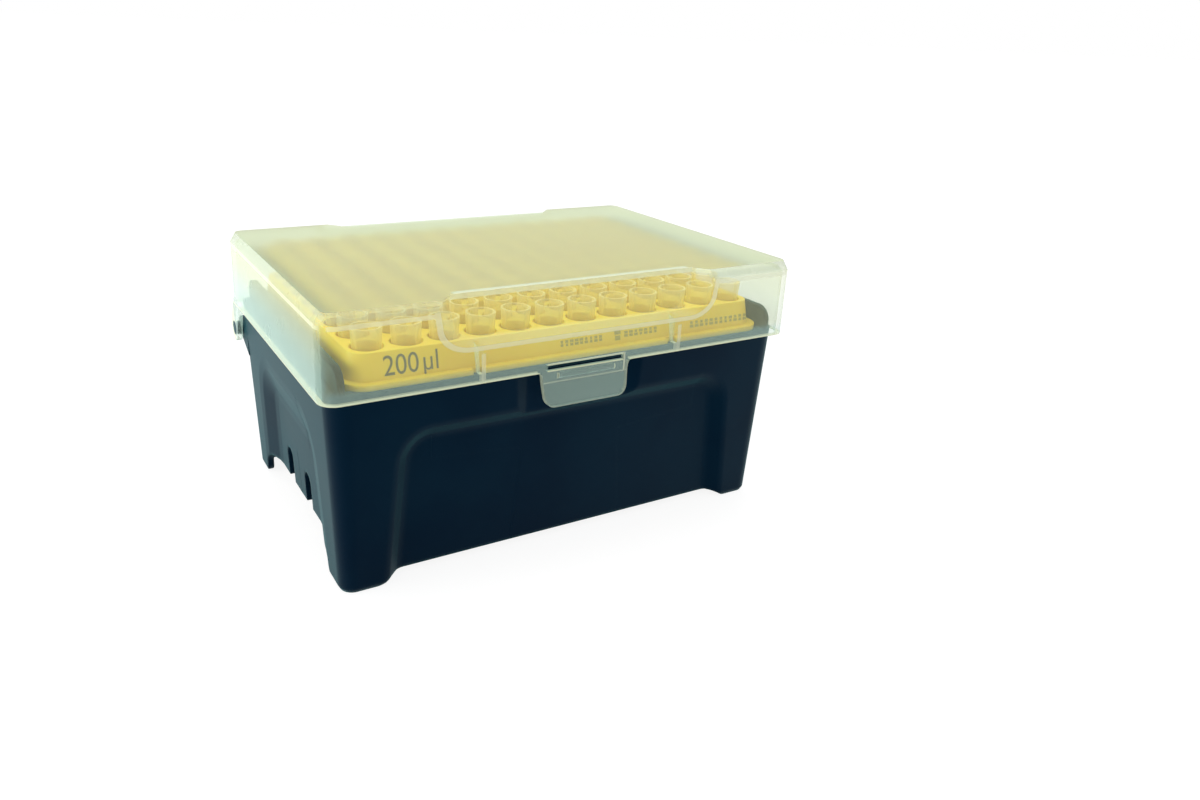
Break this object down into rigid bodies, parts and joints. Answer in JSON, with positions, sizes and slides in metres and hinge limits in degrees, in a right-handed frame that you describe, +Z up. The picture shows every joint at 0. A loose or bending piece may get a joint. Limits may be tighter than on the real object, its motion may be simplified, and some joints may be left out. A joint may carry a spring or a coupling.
{
  "type": "box of pipette tips",
  "caption": "Hinged-lid box of pipette tips: a base on four corner legs, a drop-in rack full of tapered tips, and a translucent lid with finger scoops and a latch tab.",
  "frame": {"origin": "on the floor under the middle of the closed box's bounding box, with its tab and hinge lugs", "axes": "+X along the long front, +Y from the latch to the hinge, +Z up"},
  "size_m": [0.1258, 0.0889, 0.0672],
  "materials": {
    "base": "satin",
    "rack": "satin",
    "lid": "translucent",
    "tips": "translucent"
  },
  "bodies": {
    "base": {"base": "base", "rack": "rack", "tips_column_1": "tips", "tips_column_2": "tips", "tips_column_3": "tips", "tips_column_4": "tips", "tips_column_5": "tips", "tips_column_6": "tips", "tips_column_7": "tips", "tips_column_8": "tips", "tips_column_9": "tips", "tips_column_10": "tips", "tips_column_11": "tips", "tips_column_12": "tips"},
    "lid": {"lid": "lid"}
  },
  "joints": [
    {"name": "lid_hinge", "type": "hinge", "parent": "base", "child": "lid", "pos_m": [0, 0.04085, 0.0398], "axis": [-1, 0, 0], "range_deg": [0, 110]}
  ]
}
